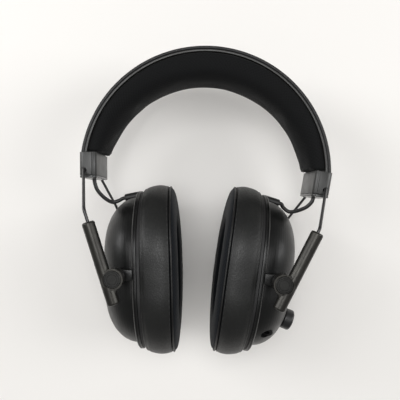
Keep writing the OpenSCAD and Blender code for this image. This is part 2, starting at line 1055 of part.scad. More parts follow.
module button_switches() {
    color("#8c8c8c")
        cup_frame(LEFT)
            for (a = [power_angle, mute_angle])
                rim_frame(a)
                    translate([-3.8, -2.5, shell_rad(rim_u) - 3 - button_travel - 0.2 - switch_t])
                        cube([5, 5, switch_t]);
}

module status_light() {
    color("#d8e8d8")
        cup_frame(LEFT)
            rim_frame(light_angle)
                translate([8, 0, shell_rad(rim_u + 8) - 5])
                    cylinder(h = 5, d = 2);
}

band_cover();
band_carrier();
spring_band();
band_pad();
end_block(LEFT);  // end_block_left
end_block(RIGHT);  // end_block_right
end_cover(LEFT);  // end_cover_left
end_cover(RIGHT);  // end_cover_right
foot_plate(LEFT);  // foot_plate_left
foot_plate(RIGHT);  // foot_plate_right
bail(LEFT);  // bail_left
bail(RIGHT);  // bail_right
slider_front(LEFT);  // slider_front_left
slider_rear(LEFT);  // slider_rear_left
slider_front(RIGHT);  // slider_front_right
slider_rear(RIGHT);  // slider_rear_right
slider_bushes(LEFT);  // slider_bushes_left
slider_bushes(RIGHT);  // slider_bushes_right
pivot_caps(LEFT);  // pivot_caps_left
pivot_caps(RIGHT);  // pivot_caps_right
pivot_screws(LEFT);  // pivot_screws_left
pivot_screws(RIGHT);  // pivot_screws_right
cup_ring(LEFT);  // cup_ring_left
cup_ring(RIGHT);  // cup_ring_right
cup_shell(LEFT);  // cup_shell_left
cup_shell(RIGHT);  // cup_shell_right
baffle(LEFT);  // baffle_left
baffle(RIGHT);  // baffle_right
cup_screws(LEFT);  // cup_screws_left
cup_screws(RIGHT);  // cup_screws_right
cushion_plate(LEFT);  // cushion_plate_left
cushion_plate(RIGHT);  // cushion_plate_right
cushion_side(LEFT);  // cushion_side_left
cushion_side(RIGHT);  // cushion_side_right
cushion_face(LEFT);  // cushion_face_left
cushion_face(RIGHT);  // cushion_face_right
scrim(LEFT);  // scrim_left
scrim(RIGHT);  // scrim_right
driver_basket(LEFT);  // driver_basket_left
driver_basket(RIGHT);  // driver_basket_right
driver_magnet(LEFT);  // driver_magnet_left
driver_magnet(RIGHT);  // driver_magnet_right
diaphragm(LEFT);  // diaphragm_left
diaphragm(RIGHT);  // diaphragm_right
lead_grommet(LEFT);  // lead_grommet_left
lead_grommet(RIGHT);  // lead_grommet_right
lead(LEFT);  // lead_left
lead(RIGHT);  // lead_right
main_board();
radio_module();
battery();
charging_board();
usb_socket();
mic_socket();
volume_pot();
volume_knob();
push_button(power_angle);  // power_button
push_button(mute_angle);  // mute_button
button_switches();
status_light();
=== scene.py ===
# %% [markdown]
# # Wireless over-ear headphones
# The hard design of these headphones was drawn first in millimetres and packed as a set of
# rigid bodies. This notebook loads that frame, leaves its metal parts where they are, and
# models what the eye sees on top: moulded shells, stitched leatherette, fabric pads, soft
# cushions and rubber leads. Every length below is in millimetres until it enters a mesh.

# %% Load the frame
import bpy
import bmesh
import json
from math import atan2, copysign, cos, hypot, pi, radians, sin, sqrt
from mathutils import Matrix, Vector, noise

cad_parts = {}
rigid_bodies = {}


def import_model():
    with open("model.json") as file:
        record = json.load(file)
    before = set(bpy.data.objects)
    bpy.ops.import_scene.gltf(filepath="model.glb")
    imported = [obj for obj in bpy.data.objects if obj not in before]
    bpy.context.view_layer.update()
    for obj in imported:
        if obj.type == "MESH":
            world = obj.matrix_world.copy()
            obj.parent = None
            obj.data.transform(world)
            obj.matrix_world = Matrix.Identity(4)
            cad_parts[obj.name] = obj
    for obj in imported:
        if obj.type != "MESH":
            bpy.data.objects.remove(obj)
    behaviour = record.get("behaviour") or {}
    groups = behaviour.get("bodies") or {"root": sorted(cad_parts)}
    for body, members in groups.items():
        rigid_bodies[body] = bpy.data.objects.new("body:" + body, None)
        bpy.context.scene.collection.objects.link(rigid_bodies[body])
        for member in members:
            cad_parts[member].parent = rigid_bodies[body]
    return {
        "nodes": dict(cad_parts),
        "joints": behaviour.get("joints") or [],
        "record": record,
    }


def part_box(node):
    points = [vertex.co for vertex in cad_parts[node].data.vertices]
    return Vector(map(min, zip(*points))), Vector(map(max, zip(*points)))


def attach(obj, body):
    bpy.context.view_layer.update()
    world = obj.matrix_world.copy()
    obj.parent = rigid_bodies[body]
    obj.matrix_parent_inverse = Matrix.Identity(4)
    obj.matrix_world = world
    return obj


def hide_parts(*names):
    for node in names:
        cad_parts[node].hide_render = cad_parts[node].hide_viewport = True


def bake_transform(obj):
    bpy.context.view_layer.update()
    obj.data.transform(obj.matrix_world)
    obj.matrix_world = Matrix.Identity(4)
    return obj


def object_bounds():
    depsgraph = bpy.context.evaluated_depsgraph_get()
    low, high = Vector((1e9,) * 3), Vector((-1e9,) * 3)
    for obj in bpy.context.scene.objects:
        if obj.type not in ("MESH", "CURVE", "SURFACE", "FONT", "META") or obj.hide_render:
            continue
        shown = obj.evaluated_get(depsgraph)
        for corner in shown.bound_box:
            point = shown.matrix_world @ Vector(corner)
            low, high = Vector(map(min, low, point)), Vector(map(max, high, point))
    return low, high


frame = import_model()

cad_box = [list(corner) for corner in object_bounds()]
MM = 0.001

# %% [markdown]
# ## Where things are
# Each cup has its own frame: x runs outwards from the cushion's face, y towards the crown and
# z to the front. It is worked out from the face of its ear seal, so a piece can be modelled
# once, upright, and then laid in both cups. The right cup is a mirror image, which turns a mesh
# inside out, so its faces are flipped back.

# %% Cup frames
record = frame["record"]
mounts = {m["name"]: m for m in record["mounts"]}
hinges = {j["name"]: j for j in frame["joints"]}
SIDES = {"left": 1, "right": -1}
SEAL_INSET = 0.3


def cup_matrix(side):
    seal = mounts["ear_seal_" + side]
    out = -Vector(seal["axis"])
    out.z = 0
    out.normalize()
    up = Vector((-out.y, out.x, 0)) * SIDES[side]
    ahead = Vector((0, 0, 1))
    origin = Vector(seal["pos_m"]) - out * SEAL_INSET * MM
    m = Matrix((out, up, ahead)).transposed().to_4x4()
    m.translation = origin
    return m


CUP = {side: cup_matrix(side) for side in SIDES}


def points_of(node, inverse=Matrix.Identity(4)):
    """The points of a CAD node, in millimetres, in the frame whose inverse matrix is given."""
    return [inverse @ v.co / MM for v in frame["nodes"][node].data.vertices]


def corners(points):
    """The lowest and the highest corner of the box round some points."""
    return [Vector([pick(p[i] for p in points) for i in range(3)]) for pick in (min, max)]


def local_box(node, side="left"):
    return corners(points_of(node, CUP[side].inverted()))


side_high = local_box("cushion_side_left")[1]
ring_low = local_box("baffle_left")[0]
shell_low, shell_high = local_box("cup_shell_left")
CUSHION_R = side_high.z
STRAIGHT = 2 * (side_high.y - side_high.z)
CUSHION_H = side_high.x
RING_U = ring_low.x
SHELL_U = shell_low.x
TOP_U = shell_high.x
EAR_R = local_box("scrim_left")[1].z - 1
PIVOT = CUP["left"].inverted() @ Vector(hinges["cup_tilt_left"]["pos_m"]) / MM
print("cup: cushion radius", round(CUSHION_R, 2), "straight", round(STRAIGHT, 2), "top", round(TOP_U, 2))

# %% [markdown]
# ## Small helpers
# Blender's operators act on whatever is selected, so each helper first clears the selection.
# An outline starts as the circle primitive, whose points are then set one by one. Spinning it
# and extruding it is how a round-ended cup grows from its outline.

# %% Helpers for making meshes
MERGE = 0.004      # points nearer than this are one point, in mm
SHARP = 35         # a bevel breaks edges that turn by more than this, in degrees


def deselect():
    for o in list(bpy.context.selected_objects):
        o.select_set(False)


def activate(obj):
    deselect()
    obj.select_set(True)
    bpy.context.view_layer.objects.active = obj
    return obj


def edit(obj, select=True):
    activate(obj)
    bpy.ops.object.mode_set(mode="EDIT")
    bpy.ops.mesh.select_all(action="SELECT" if select else "DESELECT")


def done():
    bpy.ops.object.mode_set(mode="OBJECT")


def outline(name, points, closed=True):
    """A loop of points, given in millimetres as (x, y, z)."""
    deselect()
    bpy.ops.mesh.primitive_circle_add(vertices=len(points), fill_type="NOTHING")
    obj = bpy.context.object
    obj.name = obj.data.name = name
    for v, p in zip(obj.data.vertices, points):
        v.co = Vector(p) * MM
    if not closed:
        last = {0, len(points) - 1}
        edit(obj, select=False)
        bpy.ops.mesh.select_mode(type="EDGE")
        bm = bmesh.from_edit_mesh(obj.data)
        for e in bm.edges:
            e.select = {v.index for v in e.verts} == last
        bmesh.update_edit_mesh(obj.data)
        bpy.ops.mesh.delete(type="EDGE")
        bpy.ops.mesh.select_mode(type="VERT")
        done()
    return obj


def tidy():
    """In edit mode: joins doubled points and turns every face outwards."""
    bpy.ops.mesh.select_all(action="SELECT")
    bpy.ops.mesh.remove_doubles(threshold=MERGE * MM)
    bpy.ops.mesh.normals_make_consistent(inside=False)


def apply_modifiers(obj):
    activate(obj)
    for m in list(obj.modifiers):
        bpy.ops.object.modifier_apply(modifier=m.name)


def soften(obj, angle=40):
    activate(obj)
    bpy.ops.object.shade_smooth_by_angle(angle=radians(angle))
    return obj


def bevel(obj, width):
    m = obj.modifiers.new("edges", "BEVEL")
    m.width = width * MM
    m.segments = 3
    m.limit_method = "ANGLE"
    m.angle_limit = radians(SHARP)
    m.harden_normals = False
    apply_modifiers(obj)
    return obj


def subdivide(obj, levels=1):
    m = obj.modifiers.new("smooth", "SUBSURF")
    m.levels = m.render_levels = levels
    apply_modifiers(obj)
    return obj


def cut(obj, cutter):
    m = obj.modifiers.new("cut", "BOOLEAN")
    m.operation = "DIFFERENCE"
    m.solver = "EXACT"
    m.object = cutter
    apply_modifiers(obj)
    bpy.data.objects.remove(cutter, do_unlink=True)
    return obj


def join(name, *objs):
    deselect()
    for o in objs:
        o.select_set(True)
    bpy.context.view_layer.objects.active = objs[0]
    bpy.ops.object.join()
    objs[0].name = objs[0].data.name = name
    return objs[0]


def shift(obj, matrix):
    """Moves a mesh inside its object, which stays at the origin."""
    obj.data.transform(obj.matrix_basis)
    obj.matrix_basis = Matrix.Identity(4)
    obj.data.transform(matrix)
    if matrix.determinant() < 0:
        obj.data.flip_normals()
    obj.data.update()
    return obj


def copy_of(obj, name):
    twin = obj.copy()
    twin.data = obj.data.copy()
    twin.name = twin.data.name = name
    bpy.context.scene.collection.objects.link(twin)
    return twin


def rod(radius, low, high, sides=48, name="rod"):
    """A cylinder along z, from low to high."""
    deselect()
    bpy.ops.mesh.primitive_cylinder_add(
        vertices=sides, radius=radius * MM, depth=(high - low) * MM,
        location=(0, 0, (low + high) / 2 * MM))
    obj = bpy.context.object
    obj.name = obj.data.name = name
    return shift(obj, Matrix.Identity(4))


def report(obj):
    print(obj.name, "has", len(obj.data.polygons), "faces")
    return obj


def shade(obj):
    activate(obj)
    bpy.ops.object.shade_smooth()
    return obj


def paint(obj, mat):
    obj.data.materials.clear()
    obj.data.materials.append(mat)
    return obj


def settle(piece, body, node):
    """The piece rides a body and stands in for a CAD node, which is hidden."""
    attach(piece, body)
    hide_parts(node)
    return report(piece)


# %% [markdown]
# ## Colour and shader helpers
# Colours are written as they would be picked on a screen, so one function turns the hex code
# into the linear values that the renderer needs. A second adds one node, sets it and wires it.

# %% Helpers for making materials


def srgb(code):
    parts = [int(code[i:i + 2], 16) / 255 for i in (1, 3, 5)]
    return [c / 12.92 if c <= 0.04045 else ((c + 0.055) / 1.055) ** 2.4 for c in parts] + [1.0]


def add_node(mat, kind, links=None, **settings):
    """Adds a node; settings fill its properties or inputs, links wire its inputs."""
    node = mat.node_tree.nodes.new(kind)
    for key, value in settings.items():
        if hasattr(node, key):
            setattr(node, key, value)
        else:
            node.inputs[key.replace("_", " ")].default_value = value
    for key, source in (links or {}).items():
        mat.node_tree.links.new(source, node.inputs[key])
    return node


def new_material(name, colour, roughness, metallic=0.0, **sockets):
    mat = bpy.data.materials.new(name)
    mat.use_nodes = True
    shader = mat.node_tree.nodes["Principled BSDF"]
    shader.inputs["Base Color"].default_value = srgb(colour)
    shader.inputs["Roughness"].default_value = roughness
    shader.inputs["Metallic"].default_value = metallic
    for key, value in sockets.items():
        shader.inputs[key.replace("_", " ")].default_value = value
    return mat, shader


def wire(mat, source, target):
    mat.node_tree.links.new(source, target)


def places(mat):
    return add_node(mat, "ShaderNodeTexCoord").outputs["Object"]


def noise_of(mat, size, detail=3.0, rough=0.5, coords=None):
    """Noise whose blotches are about size millimetres across."""
    return add_node(
        mat, "ShaderNodeTexNoise", {"Vector": coords or places(mat)},
        Scale=1 / (size * MM), Detail=detail, Roughness=rough).outputs["Fac"]


def spread(mat, value, low, high, start=0.3, end=0.7):
    return add_node(
        mat, "ShaderNodeMapRange", {"Value": value},
        From_Min=start, From_Max=end, To_Min=low, To_Max=high).outputs["Result"]


def tint(mat, value, dark, light):
    ramp = add_node(mat, "ShaderNodeValToRGB", {"Fac": value})
    ramp.color_ramp.elements[0].color = srgb(dark)
    ramp.color_ramp.elements[1].color = srgb(light)
    ramp.color_ramp.elements[0].position = 0.3
    ramp.color_ramp.elements[1].position = 0.7
    return ramp.outputs["Color"]


def relief(mat, shader, heights):
    """Bump from a list of (height source, depth in millimetres)."""
    last = None
    for source, depth in heights:
        links = {"Height": source}
        if last:
            links["Normal"] = last
        last = add_node(mat, "ShaderNodeBump", links, Distance=depth * MM, Strength=1.0).outputs["Normal"]
    wire(mat, last, shader.inputs["Normal"])


# %% [markdown]
# ## Moulded plastic
# The shells are ABS with a fine spark-eroded texture: the mould's tiny pits scatter light, so
# the plastic reads as matte black with one broad soft highlight. Handling polishes it a
# little, which a slow variation in roughness gives.

# %% Moulded ABS
WEAR = 0.06        # how far handling changes the roughness, either way


def moulded_abs(name, colour, lighter, roughness, pit=0.35, depth=0.012, shine=0.5):
    mat, shader = new_material(name, colour, roughness, IOR=1.53, Specular_IOR_Level=shine)
    blotch = noise_of(mat, 14, 4)
    wire(mat, tint(mat, blotch, colour, lighter), shader.inputs["Base Color"])
    polish = spread(mat, noise_of(mat, 9, 5), roughness - WEAR, roughness + WEAR)
    wire(mat, polish, shader.inputs["Roughness"])
    relief(mat, shader, [(noise_of(mat, pit, 2), depth)])
    return mat


shell_abs = moulded_abs("shell_moulded_abs", "#090a0a", "#0d0e0e", 0.38, shine=0.27)
ring_abs = moulded_abs("ring_moulded_abs", "#090a0a", "#0d0e0e", 0.36, shine=0.36)
block_abs = moulded_abs("block_satin_abs", "#1f201f", "#252625", 0.36, pit=0.5, depth=0.008)
foot_abs = moulded_abs("foot_gloss_abs", "#2e2f2f", "#363737", 0.25, pit=0.8, depth=0.003)
knob_abs = moulded_abs("knob_satin_abs", "#101011", "#151516", 0.36, pit=0.4, depth=0.006)
carrier_abs = moulded_abs("carrier_satin_nylon", "#242423", "#2c2c2b", 0.35, pit=0.6, depth=0.006, shine=0.4)
inner_abs = moulded_abs("inner_black_abs", "#121213", "#171718", 0.6)

# %% [markdown]
# ## Leatherette
# Polyurethane leatherette is a fabric with an embossed skin. The grain is a net of fine
# creases round small pebbles, so a cell pattern makes the pebbles and a stretched noise the
# longer creases. Real grain is about 0.6 mm across; it is drawn a little coarser to show.

# %% Leatherette


def leatherette(name, colour, lighter, roughness, grain=0.9, depth=0.05):
    mat, shader = new_material(name, colour, roughness, IOR=1.5, Specular_IOR_Level=0.42)
    where = places(mat)
    warp = noise_of(mat, 3, 2, coords=where)
    bent = add_node(mat, "ShaderNodeVectorMath", {0: where}, operation="ADD")
    nudge = add_node(mat, "ShaderNodeVectorMath", {0: warp}, operation="SCALE", Scale=0.6 * MM)
    wire(mat, nudge.outputs["Vector"], bent.inputs[1])
    cells = add_node(
        mat, "ShaderNodeTexVoronoi", {"Vector": bent.outputs["Vector"]},
        feature="SMOOTH_F1", Scale=1 / (grain * MM), Smoothness=0.35)
    creases = noise_of(mat, 1.8, 6, 0.65, coords=bent.outputs["Vector"])
    wire(mat, tint(mat, noise_of(mat, 11, 4), colour, lighter), shader.inputs["Base Color"])
    wire(mat, spread(mat, cells.outputs["Distance"], roughness - 0.05, roughness + 0.12, 0.1, 0.7),
         shader.inputs["Roughness"])
    relief(mat, shader, [(cells.outputs["Distance"], depth), (creases, depth * 1.4)])
    return mat


band_leather = leatherette("band_leatherette", "#101011", "#161617", 0.46)
cushion_leather = leatherette("cushion_leatherette", "#0b0c0c", "#121312", 0.4, grain=0.8, depth=0.045)
piping_leather = leatherette("piping_leatherette", "#070707", "#0c0c0c", 0.4, grain=0.6, depth=0.02)

# %% [markdown]
# ## Woven and knitted cloth
# The cushion faces and the pad are polyester cloth. Threads run in two directions, so two
# sine waves along the cloth's own UV map, taken in turn like a chess board, raise one thread
# over the next. A thread is 0.5 mm; it is drawn at about 1 mm so that it shows. Short fibres
# scatter light at the rim, which is what sheen does.

# %% Polyester cloth


def polyester(name, colour, lighter, thread, depth):
    mat, shader = new_material(
        name, colour, 0.85, IOR=1.45, Specular_IOR_Level=0.2, Sheen_Weight=0.06, Sheen_Roughness=0.45)
    uv = add_node(mat, "ShaderNodeTexCoord").outputs["UV"]
    split = add_node(mat, "ShaderNodeSeparateXYZ", {"Vector": uv})
    turns = 2 * pi / (2 * thread * MM)
    waves = []
    for axis in ("X", "Y"):
        phase = add_node(mat, "ShaderNodeMath", {0: split.outputs[axis]}, operation="MULTIPLY")
        phase.inputs[1].default_value = turns
        waves.append(add_node(mat, "ShaderNodeMath", {0: phase.outputs[0]}, operation="SINE").outputs[0])
    weave = add_node(mat, "ShaderNodeMath", {0: waves[0], 1: waves[1]}, operation="MULTIPLY").outputs[0]
    fuzz = noise_of(mat, 0.5, 3, 0.7)
    shade = spread(mat, weave, 0.0, 1.0, -1, 1)
    mixed = add_node(mat, "ShaderNodeMath", {0: shade, 1: fuzz}, operation="ADD").outputs[0]
    wire(mat, tint(mat, spread(mat, mixed, 0, 1, 0.3, 1.4), colour, lighter), shader.inputs["Base Color"])
    relief(mat, shader, [(weave, depth), (noise_of(mat, 6, 3), 0.15)])
    return mat


face_cloth = polyester("cushion_face_polyester", "#0b0d10", "#14171b", 0.9, 0.06)
pad_cloth = polyester("pad_underside_polyester", "#070708", "#0c0d0e", 1.0, 0.05)
scrim_cloth = polyester("scrim_open_polyester", "#060607", "#0c0c0d", 0.8, 0.2)

# %% [markdown]
# ## Metal, rubber and the rest
# The bails are steel wire under a thin black coat, and the sliders are anodised aluminium,
# brushed along their length before dyeing. The leads and grommets are soft PVC and rubber:
# dark, even and slightly shiny.

# %% Metal and rubber


def coated_steel(name, colour, lighter, roughness):
    mat, shader = new_material(name, colour, roughness, metallic=0.0, Coat_Weight=0.35, Coat_Roughness=0.25)
    wire(mat, tint(mat, noise_of(mat, 5, 4), colour, lighter), shader.inputs["Base Color"])
    relief(mat, shader, [(noise_of(mat, 0.8, 3), 0.01)])
    return mat


def anodised_aluminium(name, colour, lighter, roughness, turned=False):
    mat, shader = new_material(name, colour, roughness, metallic=0.75)
    where = places(mat)
    stretch = add_node(mat, "ShaderNodeMapping", {"Vector": where})
    stretch.inputs["Scale"].default_value = (1, 1, 0.08) if turned else (1, 0.06, 1)
    brushing = noise_of(mat, 0.25, 4, 0.6, coords=stretch.outputs["Vector"])
    wire(mat, tint(mat, noise_of(mat, 7, 4), colour, lighter), shader.inputs["Base Color"])
    wire(mat, spread(mat, brushing, roughness - 0.07, roughness + 0.1), shader.inputs["Roughness"])
    relief(mat, shader, [(brushing, 0.004)])
    return mat


def soft_rubber(name, colour, lighter, roughness):
    mat, shader = new_material(name, colour, roughness, IOR=1.52)
    wire(mat, tint(mat, noise_of(mat, 3, 4), colour, lighter), shader.inputs["Base Color"])
    relief(mat, shader, [(noise_of(mat, 0.5, 3), 0.012)])
    return mat


def bare_steel(name, colour, lighter, roughness):
    mat, shader = new_material(name, colour, roughness, metallic=1.0)
    wire(mat, tint(mat, noise_of(mat, 2, 4), colour, lighter), shader.inputs["Base Color"])
    scuffs = spread(mat, noise_of(mat, 0.6, 4), roughness - 0.08, roughness + 0.08)
    wire(mat, scuffs, shader.inputs["Roughness"])
    return mat


wire_coat = coated_steel("bail_coated_steel", "#121214", "#18181a", 0.35)
slider_anodised = anodised_aluminium("slider_anodised_aluminium", "#2f2e2c", "#393835", 0.33)
cap_anodised = anodised_aluminium("cap_anodised_aluminium", "#232322", "#2c2c2b", 0.34, turned=True)
lead_pvc = soft_rubber("lead_soft_pvc", "#0c0c0d", "#121213", 0.42)
stitch_thread = soft_rubber("stitch_polyester_thread", "#1c1d1e", "#28292a", 0.6)
grommet_rubber = soft_rubber("grommet_moulded_rubber", "#0d0d0d", "#141414", 0.5)
screw_steel = bare_steel("screw_plated_steel", "#a3a3a0", "#b5b5b0", 0.3)
nylon_bush = moulded_abs("bush_moulded_nylon", "#202021", "#262627", 0.45)
board_mask = moulded_abs("board_solder_mask", "#0f3d22", "#14502d", 0.35)
can_tin = bare_steel("can_tinned_steel", "#b0b0ae", "#bdbdba", 0.35)
cell_foil = bare_steel("cell_foil", "#a9adb2", "#b9bdc2", 0.42)
film = moulded_abs("diaphragm_polyester_film", "#c9c8c2", "#d6d5cf", 0.3)
lens_acrylic = moulded_abs("light_acrylic", "#cfe0d4", "#dcebdf", 0.2)
# The mic socket is black nylon, darkened below the shell's black and given little shine as painted shade, so
# that the mic hole reads dark.
socket_nylon_painted_shade = moulded_abs("socket_nylon_with_painted_shade", "#050506", "#080809", 0.6, shine=0.15)

# %% Materials on the CAD nodes that stay
STAYS = {
    slider_anodised: ["slider_front", "slider_rear"],
    shell_abs: ["cup_shell"],
    grommet_rubber: ["lead_grommet"],
    wire_coat: ["bail"],
    nylon_bush: ["slider_bushes"],
    screw_steel: ["pivot_screws", "cup_screws", "spring_band"],
    inner_abs: ["baffle", "cushion_plate", "driver_basket"],
    can_tin: ["driver_magnet", "radio_module", "usb_socket", "volume_pot", "button_switches"],
    film: ["diaphragm"],
    board_mask: ["main_board", "charging_board"],
    cell_foil: ["battery"],
    # the mic socket takes the nylon that is darkened as painted shade in its hole
    socket_nylon_painted_shade: ["mic_socket"],
    lens_acrylic: ["status_light"],
    knob_abs: ["volume_knob", "power_button", "mute_button"],
}


for mat, stems in STAYS.items():
    for stem in stems:
        for node in (stem, stem + "_left", stem + "_right"):
            if node in frame["nodes"]:
                paint(frame["nodes"][node], mat)
print("materials on CAD nodes:", len(STAYS))

# %% [markdown]
# ## Camera, floor and light
# The headphones lie on a pale table and are seen from straight above, turned a few degrees.
# A wide overhead softbox gives the broad highlights and the soft grey shadow between the
# cups; a pale world fills the rest.

# %% Stage
mid_z = (cad_box[0][2] + cad_box[1][2]) / 2
CAMERA_REACH = 0.300
camera_data = bpy.data.cameras.new("camera")
camera_data.lens = 41.8
camera_data.sensor_width = 36
camera = bpy.data.objects.new("camera", camera_data)
bpy.context.scene.collection.objects.link(camera)
camera.location = (-0.0018, 0.0026, mid_z + CAMERA_REACH)
camera.rotation_euler = (0, 0, radians(4.8))
bpy.context.scene.camera = camera

deselect()
bpy.ops.mesh.primitive_plane_add(size=4, location=(0, 0, cad_box[0][2]))
floor = bpy.context.object
floor.name = "floor"
paper = new_material("floor_paper", "#eceae7", 0.8)[0]
floor.data.materials.append(paper)


def softbox(name, place, size, power):
    data = bpy.data.lights.new(name, "AREA")
    data.shape = "RECTANGLE"
    data.size, data.size_y = size
    data.energy = power
    light = bpy.data.objects.new(name, data)
    bpy.context.scene.collection.objects.link(light)
    light.location = place
    light.rotation_euler = (Vector(place) - Vector((0, 0, 0.03))).to_track_quat("Z", "Y").to_euler()
    return light


softbox("overhead", (-0.05, 0.14, 1.0), (0.5, 0.5), 4.6)
softbox("side_left", (-0.8, 0.22, 0.55), (0.35, 0.9), 4.9)
softbox("side_right", (0.8, 0.16, 0.55), (0.35, 0.9), 4.3)

world = bpy.data.worlds.new("studio")
world.use_nodes = True
world.node_tree.nodes["Background"].inputs["Color"].default_value = srgb("#fbf9f6")
world.node_tree.nodes["Background"].inputs["Strength"].default_value = 0.3
bpy.context.scene.world = world
bpy.context.scene.view_settings.view_transform = "Standard"

# %% [markdown]
# ## Tools for sweeping a profile
# A band is a flat profile spun about the centre of the headband's arc. A cup is a profile spun
# into a full ring, whose two halves are then drawn apart so that the ring becomes an oval.
# Cloth needs to know how far each point lies along the piece and along the profile, so that
# its threads run straight: that distance is written into the UV map.

# %% Sweeping helpers
STRAIGHT_CUTS = 7      # cross cuts in the straight stretch between a cup's two round ends
MEAN_R = 34            # the radius, in mm, at which cloth is measured round a cup


def spin(obj, centre, axis, angle, steps):
    edit(obj)
    bpy.ops.mesh.spin(steps=steps, angle=angle, center=Vector(centre) * MM, axis=axis)


def close_ends():
    bpy.ops.mesh.select_all(action="DESELECT")
    bpy.ops.mesh.select_non_manifold()
    bpy.ops.mesh.fill_holes(sides=0)


def oval_ring(name, profile, steps=80):
    """A closed (radius, height) profile carried round the oval of a cup."""
    half_step = pi / steps
    obj = outline(name, [(u, -r * sin(half_step), r * cos(half_step)) for r, u in profile])
    spin(obj, (0, 0, 0), (1, 0, 0), 2 * pi, steps)
    tidy()
    for way in (1, -1):
        bm = bmesh.from_edit_mesh(obj.data)
        for v in bm.verts:
            v.select_set(v.co.y * way > 0)
        bm.select_flush_mode()
        bmesh.update_edit_mesh(obj.data)
        bpy.ops.transform.translate(value=(0, way * STRAIGHT / 2 * MM, 0))
    for i in range(STRAIGHT_CUTS):
        place = STRAIGHT * ((i + 0.5) / STRAIGHT_CUTS - 0.5) * MM
        bpy.ops.mesh.select_all(action="SELECT")
        bpy.ops.mesh.bisect(plane_co=(0, place, 0), plane_no=(0, 1, 0))
    tidy()
    done()
    return obj


def oval_place(co):
    """Millimetres round the oval, and the radius there, for a point of a cup."""
    half = STRAIGHT / 2
    y, z = co.y / MM, co.z / MM
    over = max(-half, min(half, y))
    radius = hypot(y - over, z)
    turn = atan2(y - over, abs(z))
    round_it = over + turn * MEAN_R
    if z < 0:
        round_it = 2 * half + pi * MEAN_R - round_it
    return round_it, radius


def profile_run(profile):
    """Distance of each profile point along the profile, and the whole length."""
    runs, total = [], 0
    for i, (r, u) in enumerate(profile):
        runs.append(total)
        nr, nu = profile[(i + 1) % len(profile)]
        total += hypot(nr - r, nu - u)
    return runs, total


def lay_cloth(obj, place, loop_long, loop_across):
    """Writes place(co), two distances in millimetres, into the UV map."""
    data = obj.data
    layer = data.uv_layers[0] if data.uv_layers else data.uv_layers.new()
    spots = [place(v.co) for v in data.vertices]
    for face in data.polygons:
        corner = [list(spots[data.loops[i].vertex_index]) for i in face.loop_indices]
        for axis, loop in ((0, loop_long), (1, loop_across)):
            if loop and max(c[axis] for c in corner) - min(c[axis] for c in corner) > loop / 2:
                for c in corner:
                    if c[axis] < loop / 2:
                        c[axis] += loop
        for i, c in zip(face.loop_indices, corner):
            layer.data[i].uv = (c[0] * MM, c[1] * MM)


# %% [markdown]
# ## Blowing a pad up with cloth
# A stuffed pad bulges where it is free and stays where it is sewn or glued. Blender's cloth
# does the same: the sewn points are pinned, a pressure fills the form, and gravity is off.
# The movement is then capped, so that the pad keeps its size, and written into the mesh.

# %% Cloth helper
FRAMES = 20        # enough for the pressure and the threads to come to rest


def inflate(obj, sewn, pressure, cap, spare=0.004, smooth=2):
    """sewn(co) gives 0 for a free point and 1 for one that can't move; cap is in mm."""
    data = obj.data
    before = [v.co.copy() for v in data.vertices]
    group = obj.vertex_groups.new(name="sewn")
    for v in data.vertices:
        weight = sewn(v.co)
        if weight > 0:
            group.add([v.index], weight, "REPLACE")
    cloth = obj.modifiers.new("cloth", "CLOTH")
    cloth.settings.use_pressure = True
    cloth.settings.uniform_pressure_force = pressure
    cloth.settings.vertex_group_mass = "sewn"
    cloth.settings.shrink_min = -spare
    cloth.settings.effector_weights.gravity = 0
    cloth.settings.quality = 6
    cloth.settings.tension_stiffness = cloth.settings.compression_stiffness = 18
    cloth.settings.shear_stiffness = 12
    cloth.settings.bending_stiffness = 0.6
    cloth.collision_settings.use_collision = False
    cloth.point_cache.frame_start, cloth.point_cache.frame_end = 1, FRAMES
    scene = bpy.context.scene
    for step in range(1, FRAMES + 1):
        scene.frame_set(step)
    shaped = obj.evaluated_get(bpy.context.evaluated_depsgraph_get()).to_mesh()
    after = [v.co.copy() for v in shaped.vertices]
    obj.evaluated_get(bpy.context.evaluated_depsgraph_get()).to_mesh_clear()
    obj.modifiers.remove(cloth)
    scene.frame_set(1)
    furthest = 0
    for v, a, b in zip(data.vertices, before, after):
        move = b - a
        furthest = max(furthest, move.length)
        if move.length > cap * MM:
            move = move * (cap * MM / move.length)
        v.co = a + move
    data.update()
    edit(obj)
    bpy.ops.mesh.vertices_smooth(factor=0.4, repeat=smooth)
    done()
    for v, a in zip(data.vertices, before):
        if sewn(a) == 1:
            v.co = a
    print(obj.name, "moved up to", round(furthest / MM, 2), "mm, capped at", cap)
    return obj


# %% [markdown]
# ## Ear cushions
# A cushion is foam in a tube of two cloths. Leatherette wraps the outside and polyester the
# face and the ear opening, and the two meet in a piped seam. One closed ring is swept round
# the oval, blown up, given a crown (its two ends fall back from the ear), and then parted
# along the seam into its two cloths.

# %% Cushion profile
face_high = local_box("cushion_face_left")[1]
SEAM_R = face_high.z
inner = points_of("cushion_side_left", CUP["left"].inverted())
EAR_HOLE = min(abs(p.z) for p in inner if abs(p.y) < STRAIGHT / 2 + 0.2)
SEAM_AHEAD = 2.2    # the cloths meet this far nearer the ear than the foam is parted, in mm
SEAM_U = face_high.x - SEAM_AHEAD
FOOT_R = min(hypot(max(0, abs(p.y) - STRAIGHT / 2), p.z) for p in inner
             if p.x > CUSHION_H - 0.1 and hypot(max(0, abs(p.y) - STRAIGHT / 2), p.z) > EAR_HOLE + 5)
FACE_STEPS, WALL_STEPS, BACK_STEPS, SIDE_STEPS = 18, 6, 5, 16
mid_r = (SEAM_R + EAR_HOLE) / 2


def face_point(t):
    a = pi * t
    return (mid_r + (SEAM_R - mid_r) * cos(a), SEAM_U - SEAM_U * 0.94 * sin(a) ** 0.62)


def side_point(t):
    bulge = sin(pi * t ** 0.8)
    return (FOOT_R + (SEAM_R - FOOT_R) * (1 - t) + (CUSHION_R - 0.5 - (SEAM_R + FOOT_R) / 2) * bulge,
            SEAM_U + (CUSHION_H - SEAM_U) * t)


